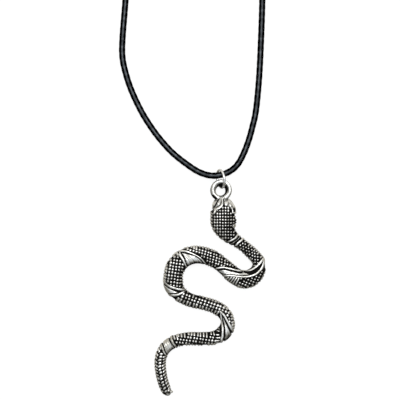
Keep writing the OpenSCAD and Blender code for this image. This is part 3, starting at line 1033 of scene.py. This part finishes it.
# Places along half the clasp and radii there, with the turned edges broken
HALF_TURNING = [
    (0, cup_edge), (0.25, cup_radius), (cup_length - 1.2, cup_radius),
    (cup_length - 0.9, cup_groove), (cup_length - 0.5, cup_groove),
    (cup_length - 0.2, cup_radius), (cup_length, cup_radius), (cup_length, barrel_edge),
    (cup_length + 0.4, barrel_radius), (clasp_length / 2 - 0.25, barrel_radius),
    (clasp_length / 2 - 0.15, barrel_seam),
]
CLASP_TURNING = HALF_TURNING + [(clasp_length - x, r) for x, r in reversed(HALF_TURNING)]
bpy.ops.object.select_all(action="DESELECT")
bpy.ops.mesh.primitive_circle_add(vertices=clasp_sides, radius=CLASP_TURNING[0][1] * MM,
                                  rotation=(0, math.pi / 2, 0))
clasp = bpy.context.object
clasp.name = "barrel_clasp"
bpy.ops.object.transform_apply(rotation=True)
edit_all()
for (x1, r1), (x2, r2) in zip(CLASP_TURNING, CLASP_TURNING[1:]):
    bpy.ops.mesh.extrude_region_move(TRANSFORM_OT_translate={"value": ((x2 - x1) * MM, 0, 0)})
    bpy.ops.transform.resize(value=(1, r2 / r1, r2 / r1), center_override=(x2 * MM, 0, 0))
close_ends()
clasp.data.transform(Matrix.Translation(Vector(clasp_start) * MM))
smooth_and_close(clasp, sharp=25)
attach(clasp, "root")
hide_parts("clasp")

steel, tree, shader = new_finish("turned_steel")
lathe_lines = noise(tree, 9000, 2, stretch=(1, 0.02, 0.02))
shader.inputs["Base Color"].default_value = (0.60, 0.60, 0.61, 1)
shader.inputs["Metallic"].default_value = 1
tree.links.new(blend(tree, lathe_lines, 0.22, 0.42), shader.inputs["Roughness"])
clasp.data.materials.append(steel)

# Floor and lights. A matt white table, a wide softbox overhead that reaches towards the top of
# the picture, a smaller lamp above the necklace, and a pale room that is warm towards the
# picture's top, dim towards its bottom and cool overhead.
floor_size = 4
# The room's light: towards the picture's bottom, towards its top, and from above
dim_room = (0.25, 0.24, 0.2, 1)
warm_room = (0.85, 0.82, 0.74, 1)
cool_ceiling = (0.88, 0.94, 1.0, 1)
# How much the border between the dim and the warm side leans over the necklace
room_lean = -0.4
bpy.ops.object.select_all(action="DESELECT")
bpy.ops.mesh.primitive_plane_add(size=floor_size, location=(0, 0, 0))
floor = bpy.context.object
floor.name = "table"
paper, _, shader = new_finish("white_table")
shader.inputs["Base Color"].default_value = (0.15, 0.15, 0.15, 1)
shader.inputs["Roughness"].default_value = 0.9
shader.inputs["Specular IOR Level"].default_value = 0
shader.inputs["Emission Color"].default_value = (1, 1, 1, 1)
shader.inputs["Emission Strength"].default_value = 0.88
floor.data.materials.append(paper)
floor.visible_glossy = False


def softbox(name, place, size, aim, watts):
    """A square area light, turned towards a place."""
    light = bpy.data.lights.new(name, "AREA")
    light.size = size
    light.energy = watts
    box = bpy.data.objects.new(name, light)
    box.location = place
    box.rotation_euler = (Vector(aim) - Vector(place)).to_track_quat("-Z", "Y").to_euler()
    bpy.context.scene.collection.objects.link(box)


softbox("wide_softbox", (0, 0.55, 0.5), 1.3, (0, 0, 0), 2.4)
softbox("key_light", (0, 0.17, 0.55), 0.35, (0, 0.01, 0), 1.5)
world = bpy.data.worlds.new("grey_room")
world.use_nodes = True
tree = world.node_tree
direction = add_node(tree, "ShaderNodeTexCoord").outputs["Generated"]
split = add_node(tree, "ShaderNodeSeparateXYZ", {"Vector": direction})
leaning = add_node(tree, "ShaderNodeMath",
                   {0: split.outputs["Z"], 1: room_lean, 2: split.outputs["Y"]},
                   operation="MULTIPLY_ADD").outputs[0]
towards_top = add_node(tree, "ShaderNodeMapRange",
                       {"Value": leaning, "From Min": -0.2, "From Max": 0.7},
                       interpolation_type="SMOOTHSTEP").outputs["Result"]
upwards = add_node(tree, "ShaderNodeMapRange",
                   {"Value": split.outputs["Z"], "From Min": 0.3, "From Max": 0.92},
                   interpolation_type="SMOOTHSTEP").outputs["Result"]
around = blend(tree, towards_top, dim_room, warm_room, colours=True)
tree.links.new(blend(tree, upwards, around, cool_ceiling, colours=True),
               tree.nodes["Background"].inputs["Color"])
bpy.context.scene.world = world
bpy.context.scene.view_settings.view_transform = "Standard"
